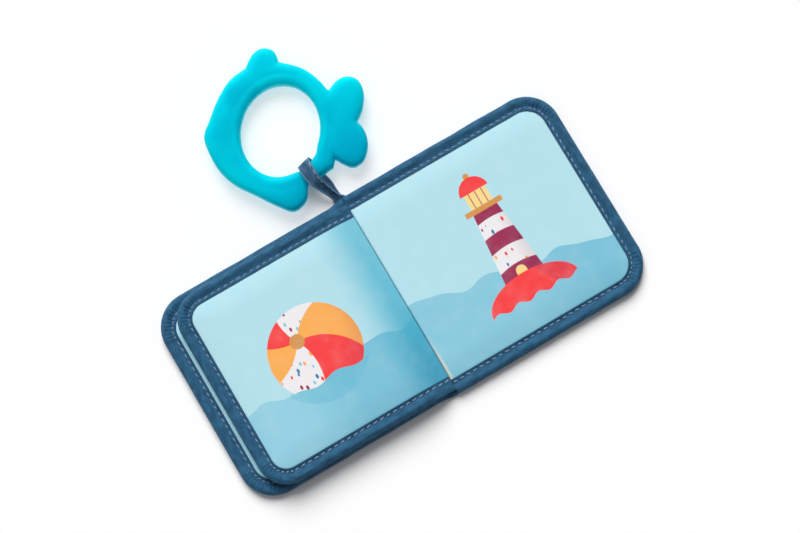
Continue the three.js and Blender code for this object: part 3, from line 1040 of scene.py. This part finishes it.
# strap: one tape out of the head of the spine, over the ring's bar, through its hole and back under it
strap = {
    # middle of the tape, its width and the way its width points, in degrees
    "route": [
        (-1.6, 65.5, 1.9, 9.2, 0), (-1.5, 69.0, 2.0, 9.2, 0), (-3.0, 72.2, 3.3, 5.0, 12),
        (-5.2, 76.2, 6.6, 5.0, 22), (-7.7, 80.7, 10.8, 6.2, 20), (-9.5, 85.0, 13.6, 7.6, 13),
        (-10.2, 89.5, 14.6, 8.2, 9), (-10.4, 93.2, 14.5, 8.6, 11), (-10.2, 96.6, 13.0, 8.8, 13),
        (-9.9, 99.0, 9.4, 8.8, 15), (-9.0, 99.6, 5.2, 8.6, 16), (-7.6, 98.2, 1.6, 8.0, 16),
        (-7.2, 94.8, 0.52, 7.0, 13), (-6.0, 90.6, 0.5, 6.8, 9), (-4.3, 86.4, 0.6, 6.8, 5),
        (-3.1, 81.5, 1.1, 6.2, 2), (-2.8, 76.5, 1.5, 5.4, 0), (-2.1, 72.2, 1.5, 5.2, 0),
        (-1.5, 69.0, 1.0, 9.2, 0), (-1.6, 65.5, 1.0, 9.2, 0),
    ],
    "thickness": 0.9,
    "cut": 10.0,
    "steps": 150,
    "acrossSteps": 12,
    "cup": 1.1,
    "cupAt": (75.0, 6.5),
    "cupLevel": 0.4,
    "stitchSide": 0.72,
    "bareEnds": 2,  # stitches left out at each end
    "stitchRise": 0.8,
    "lowest": 0.05,  # nothing of it reaches into the table
}


def alongStrap(line, at, aside, lift):
    # a spot on the strap: at counts steps along it, aside runs from -1 to 1 across it
    i = min(max(int(at), 0), len(line) - 2)
    here = line[i].lerp(line[i + 1], at - i)
    before = Vector(line[max(i - 1, 0)][:3])
    after = Vector(line[min(i + 2, len(line) - 1)][:3])
    turn = math.radians(here[4])
    across = Vector((math.cos(turn), math.sin(turn), 0))
    face = across.cross(after - before).normalized()
    near = math.exp(-((here[1] - strap["cupAt"][0]) / strap["cupAt"][1]) ** 2)
    cup = strap["cup"] * near * (aside * aside - strap["cupLevel"])
    return Vector(here[:3]) + across * (aside * here[3] / 2) + face * (cup + lift)


def makeStrap(line):
    length = sum((Vector(b[:3]) - Vector(a[:3])).length for a, b in zip(line, line[1:]))
    half = strap["cut"] / 2
    strip = flatGrid("strap_tape", (0, 0), (length, strap["cut"]), strap["steps"], strap["acrossSteps"])
    keepLay(strip)
    moveEach(strip, lambda spot: alongStrap(line, spot.x / length * strap["steps"], spot.y / half - 1, 0))
    applyModifier(strip, "SOLIDIFY", thickness=strap["thickness"] * mm, offset=0)
    smoothShade(strip, sharp["sheet"])
    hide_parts("strap")
    print("strap length in mm:", round(length, 1))
    return strip, length


def strapStitches(line, length):
    half = strap["cut"] / 2
    count = round(length / stitch["pitch"])
    spots = []
    for i in range(strap["bareEnds"], count - strap["bareEnds"]):
        wobble = noise.noise((i * 0.9, 2.2, 8.1))
        spots.append(((i + 0.5) * length / count, 0.0, 0.0, wobble))
    row = stitchRow("strap_stitches", spots)

    def place(spot):
        at = spot.x / length * strap["steps"]
        lift = spot.z * strap["stitchRise"] + strap["thickness"] / 2
        put = alongStrap(line, at, strap["stitchSide"] + spot.y / half, lift)
        put.z = max(put.z, strap["lowest"])
        return put

    moveEach(row, place)
    return row


strapRun = smoothLine(strap["route"], strap["steps"])
strapTape, strapLength = makeStrap(strapRun)
strapThread = strapStitches(strapRun, strapLength)
paint(strapTape, "strap")
paint(strapThread, "thread")
strapLength * mm
for piece in (strapTape, strapThread):
    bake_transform(piece)
print("strap made")


# teething ring: the moulded form, remeshed fine, with fuller edges and a soft bead round its hole
ring = {
    "middle": (-11.9, 123.7), "turn": -29.7, "hole": (24.5, 29.2, -10.0), "tip": 0.0285, "halfThickness": 5.0,
    "voxel": 0.7, "smoothing": 4, "evening": 2, "swell": 0.35, "edge": 4.6, "fullness": 3.0,
    "sideFrom": 4, "faceFrom": 1.4, "lowest": 0.05,
    "bead": {"at": 3.2, "width": 1.5, "by": 0.22},
    "groove": {"at": 6.4, "width": 1.7, "by": 0.24},
    "lobes": {"way": (-0.508, -0.862), "side": (8, 30), "far": (3, 10), "by": 1.6},
    "bar": {
        "at": (-6.1, 91.8, 7.3), "way": (0.987, 0.158), "along": (12, 6), "out": (15, 10), "slimmer": 0.145,
    },
}


def fromHole(x, y):
    turn = math.radians(ring["turn"] + ring["hole"][2])
    across = x - ring["middle"][0]
    along = y - ring["middle"][1]
    own = (across * math.cos(turn) + along * math.sin(turn), along * math.cos(turn) - across * math.sin(turn))
    angle = math.atan2(own[1], own[0])
    edge = 1 / math.hypot(math.cos(angle) / ring["hole"][0], math.sin(angle) / ring["hole"][1])
    return math.hypot(*own) - edge


def makeRing():
    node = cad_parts["teether_ring"]
    made = node.copy()
    made.data = node.data.copy()
    made.name = made.data.name = "teether_ring_soft"
    scene.collection.objects.link(made)
    made.parent = None
    pick(made)
    bpy.ops.object.mode_set(mode="EDIT")
    bpy.ops.mesh.select_all(action="SELECT")
    bpy.ops.mesh.remove_doubles(threshold=0.00001)
    bpy.ops.object.mode_set(mode="OBJECT")
    applyModifier(made, "REMESH", mode="VOXEL", voxel_size=ring["voxel"] * mm)
    applyModifier(made, "SMOOTH", factor=0.5, iterations=ring["smoothing"])
    # what the smoothing took off the outline comes back
    applyModifier(made, "DISPLACE", strength=ring["swell"] * mm, mid_level=0)

    def level(spot):
        return ring["bar"]["at"][2] - ring["tip"] * (spot.y - ring["bar"]["at"][1])

    def share(value, ends):
        return eased((value - ends[0]) / (ends[1] - ends[0]))

    def heldPart(spot):
        # how far a spot belongs to the bar that the strap holds, and its way off the bar's line
        bar = ring["bar"]
        off = Vector(spot[:2]) - Vector(bar["at"][:2])
        along = off.dot(Vector(bar["way"]))
        out = off - along * Vector(bar["way"])
        return share(abs(along), bar["along"]) * share(out.length, bar["out"]), out

    # a round edge becomes a fuller one, the outline stays
    normals = [Vector(vertex.normal[:2]) for vertex in made.data.vertices]
    for vertex, sideways in zip(made.data.vertices, normals):
        spot = vertex.co / mm
        high = min(abs(spot.z - level(spot)) / (ring["halfThickness"] + ring["swell"]), 1)
        inRound = 1 - math.sqrt(1 - high ** 2)
        inFull = 1 - (1 - high ** ring["fullness"]) ** (1 / ring["fullness"])
        onSide = eased(sideways.length * ring["sideFrom"])
        push = ring["edge"] * (inRound - inFull) * onSide * (1 - heldPart(spot)[0])
        if sideways.length > 0:
            vertex.co += Vector((*sideways.normalized(), 0)) * push * mm
    applyModifier(made, "SMOOTH", factor=0.5, iterations=ring["evening"])

    def hump(far, shape):
        return shape["by"] * math.exp(-((far - shape["at"]) / shape["width"]) ** 2)

    def place(spot):
        high = (spot.z - level(spot)) / ring["halfThickness"]
        far = fromHole(spot.x, spot.y)
        held, out = heldPart(spot)
        # the lobes on the strap's side are fuller
        lobes = ring["lobes"]
        side = (Vector(spot[:2]) - Vector(ring["middle"])).dot(Vector(lobes["way"]))
        fuller = lobes["by"] * share(side, lobes["side"]) * share(far, lobes["far"])
        # the bar is slimmer where the strap holds it, so that it turns in the loop
        flat = Vector(spot[:2]) + Vector(lobes["way"]) * fuller * (1 - held)
        flat -= out * ring["bar"]["slimmer"] * held
        rise = (hump(far, ring["bead"]) - hump(far, ring["groove"])) * (1 - held)
        z = spot.z + rise * math.copysign(min(abs(high) * ring["faceFrom"], 1), high)
        return *flat, max(z, ring["lowest"])

    moveEach(made, place)
    # painted light: thin is 1 at the ring's middle height, its edges and hole wall, which the material makes
    # lighter
    thin = made.data.attributes.new("thin", "FLOAT", "POINT")
    shares = []
    for vertex in made.data.vertices:
        spot = vertex.co / mm
        shares.append(1 - min(abs(spot.z - level(spot)) / ring["halfThickness"], 1))
    thin.data.foreach_set("value", shares)
    pick(made)
    bpy.ops.object.shade_smooth()
    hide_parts("teether_ring")
    return made


softRing = makeRing()
paint(softRing, "ring")
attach(softRing, "teether")
# the soft ring is half clear, so part of the light passes it
clear = bpy.data.collections.new("halfClear")
clear.objects.link(softRing)
clear.collection_objects[0].light_linking.link_state = "EXCLUDE"
throughLight.light_linking.blocker_collection = clear
print("ring made:", len(softRing.data.polygons), "faces")


studio = {"size": 8.0, "below": 0.05}


def addFloor():
    clearSelection()
    bpy.ops.mesh.primitive_plane_add(size=studio["size"], location=(0, 0, -studio["below"] * mm))
    floor = bpy.context.object
    floor.name = "studio_floor"
    look = Look("paleFloor", Roughness=0.9, Base_Color=(0.99, 0.99, 0.99, 1), Specular_IOR_Level=0.0)
    paint(floor, look.material)


addFloor()
print("object made")
